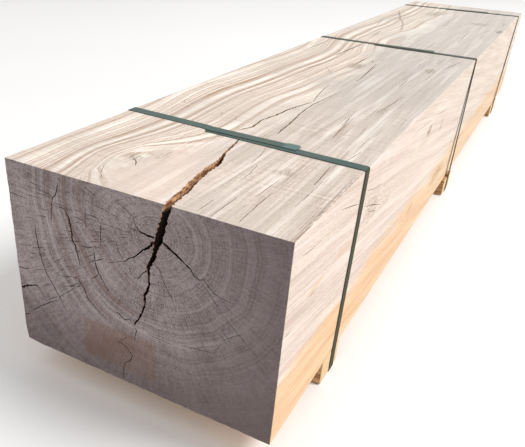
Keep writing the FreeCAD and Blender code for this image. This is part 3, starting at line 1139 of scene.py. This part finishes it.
def make_strap(name, materials):
    """One embossed band as a closed shell."""
    at, path = rounded_route(strap_route(name), EMBOSS_PITCH / 3.5)
    along = np.gradient(path[:, :2], axis=0)
    along /= np.linalg.norm(along, axis=1)[:, None] + 1e-12
    outward = np.stack([-along[:, 1], along[:, 0]], axis=1)
    columns = np.linspace(-0.5, 0.5, ACROSS + 1) * STRAP_WIDTH
    s, w = at[:, None], columns[None, :]
    # plastic squeezed out of the weld to the far side, just before the upper end
    left = at[-1] - s
    squeeze = WELD_SPREAD * smoothstep(WELD_START, WELD_START - 5, left) * smoothstep(0, 3, left)
    squeeze = squeeze * (1 + 0.3 * np.sin(s * 1.9)) * smoothstep(0, 0.5 * STRAP_WIDTH, w)
    s_turn, w_turn = s / EMBOSS_PITCH, w / EMBOSS_WIDTH
    weave = np.abs(np.sin(math.pi * (s_turn + w_turn)) * np.sin(math.pi * (s_turn - w_turn)))
    border = np.clip((STRAP_WIDTH / 2 - np.abs(w)) / BORDER_WIDTH, 0, 1)
    welded = smoothstep(at[-1] - WELD_START, at[-1] - WELD_START + 4.0, s)
    dent = EMBOSS_DEPTH * (1 - weave) * border * (1 - 0.8 * welded)
    dent = dent + BORDER_DEPTH * (1 - border) ** 2
    height = STRAP_THICKNESS - CLEARANCE - dent
    x, z, y = path.T
    outer = np.stack([
        x[:, None] + outward[:, :1] * height,
        y[:, None] + np.broadcast_to(w, height.shape) + squeeze,
        z[:, None] + outward[:, 1:] * height,
    ], axis=2)
    inner_rows = [np.stack([x, y + edge * STRAP_WIDTH, z], axis=1) for edge in (-0.5, 0.5)]
    rows, cols = height.shape
    vertices = np.concatenate([outer.reshape(-1, 3), *inner_rows])
    left_in = rows * cols
    right_in = left_in + rows
    faces = []
    for i in range(rows - 1):
        for j in range(cols - 1):
            a = i * cols + j
            faces.append((a, a + cols, a + cols + 1, a + 1))
        faces.append((left_in + i, left_in + i + 1, (i + 1) * cols, i * cols))
        faces.append((right_in + i, i * cols + cols - 1, (i + 1) * cols + cols - 1, right_in + i + 1))
        faces.append((left_in + i, right_in + i, right_in + i + 1, left_in + i + 1))
    faces.append((left_in, *range(cols), right_in))
    last = (rows - 1) * cols
    faces.append((left_in + rows - 1, right_in + rows - 1, *range(last + cols - 1, last - 1, -1)))
    obj = new_object("strap_" + name + "_band", vertices, faces, [0] * len(faces), materials, 60.0)
    on_outside = np.broadcast_to(welded, height.shape).ravel()
    set_attribute(obj, "weld", np.concatenate([on_outside, np.zeros(2 * rows)]))
    return obj


def strap_plastic():
    band = Shader("strap_plastic")
    speck = band.noise((0.9, 0.9, 0.9))
    cloud = band.noise((40.0, 40.0, 40.0))
    band.color = band.mix(band.range(cloud, 0.3, 0.7), (58, 84, 80), (74, 92, 84))
    band.tint(band.range(speck, 0.6, 0.75, 0.0, 0.5), (120, 150, 148))
    band.tint(band.attribute("weld") * 0.5, (104, 138, 136))
    # painted shade: olive brown down the sides, where the band faces sideways; duller there too
    side = band.range(band.math("ABSOLUTE", band.x), RIGHT - 1.0, RIGHT)
    band.tint(side * 0.85, (70, 66, 50))
    # greyer on the middle and rear straps
    aged = band.range(band.y, FRONT + 300.0, FRONT + 900.0, 0.0, 0.7)
    band.tint(aged, (70, 68, 56))
    return band.finish(band.range(side, 0.0, 1.0, 0.42, 0.7), band.range(side, 0.0, 1.0, 0.4, 0.08))


# ---- floor, light, eye

def make_floor():
    reach = 30.0
    corners = [(-reach, -reach, 0), (reach, -reach, 0), (reach, reach, 0), (-reach, reach, 0)]
    mesh = bpy.data.meshes.new("floor")
    mesh.from_pydata(corners, [], [(0, 1, 2, 3)])
    floor = bpy.data.objects.new("floor", mesh)
    bpy.context.scene.collection.objects.link(floor)
    paint = Shader("floor_paint")
    grain = paint.noise((900.0, 900.0, 900.0), detail=1.0)
    paint.color = paint.mix(grain, (250, 250, 250), (246, 246, 246))
    floor.data.materials.append(paint.finish(0.9, specular=0.1))


# strength of the white surroundings
WORLD_LIGHT = 0.66
# the one lamp, in metres and watts
KEY_DIRECTION = (0.64, 0.10, 0.76)
KEY_DISTANCE = 7.0
KEY_TARGET = (0, 0, 0.1)
KEY_SIZE = 2.6
KEY_POWER = 360.0


def make_lights():
    world = bpy.data.worlds.new("studio")
    world.use_nodes = True
    background = world.node_tree.nodes["Background"]
    background.inputs[0].default_value = (1, 1, 1, 1)
    background.inputs[1].default_value = WORLD_LIGHT
    bpy.context.scene.world = world
    data = bpy.data.lights.new("key", "AREA")
    data.shape = "DISK"
    data.size = KEY_SIZE
    data.energy = KEY_POWER
    data.color = (1.0, 0.98, 0.95)
    lamp = bpy.data.objects.new("key", data)
    lamp.location = Vector(KEY_DIRECTION).normalized() * KEY_DISTANCE
    aim = Vector(KEY_TARGET) - lamp.location
    lamp.rotation_euler = aim.to_track_quat("-Z", "Y").to_euler()
    bpy.context.scene.collection.objects.link(lamp)
    bpy.context.scene.view_settings.view_transform = "Standard"


def make_camera():
    data = bpy.data.cameras.new("camera")
    data.sensor_width = 36.0
    data.lens = CAMERA_LENS
    data.shift_x, data.shift_y = CAMERA_SHIFT
    data.clip_end = 100.0
    camera = bpy.data.objects.new("camera", data)
    foot = Vector((0, POST_LOW[1], POST_LOW[2]))
    camera.location = (foot + Vector(CAMERA_FROM_FRONT)) * MM
    turn = Matrix.Rotation(math.radians(CAMERA_HEADING), 4, "Z")
    tilt = Matrix.Rotation(math.radians(90.0 - CAMERA_DOWN), 4, "X")
    roll = Matrix.Rotation(math.radians(CAMERA_ROLL), 4, "Z")
    camera.rotation_euler = (turn @ tilt @ roll).to_euler()
    bpy.context.scene.collection.objects.link(camera)
    bpy.context.scene.camera = camera


# ---- assembly

def place(obj, node, slot):
    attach(obj, "root")
    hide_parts(node)


post_materials = [end_wood(), top_wood(), side_wood(), crack_wood(), cleft_wood()]
place(make_post(post_materials), "post", "post_wood")
batten_materials = [batten_wood("batten_long", False), batten_wood("batten_end", True)]
plastic = strap_plastic()
for number, name in enumerate(("front", "middle", "rear")):
    place(make_bearer("bearer_" + name, 31 + number, batten_materials), "bearer_" + name, "bearer_wood")
    place(make_strap(name, [plastic]), "strap_" + name, "strap_plastic")
make_floor()
make_lights()
make_camera()
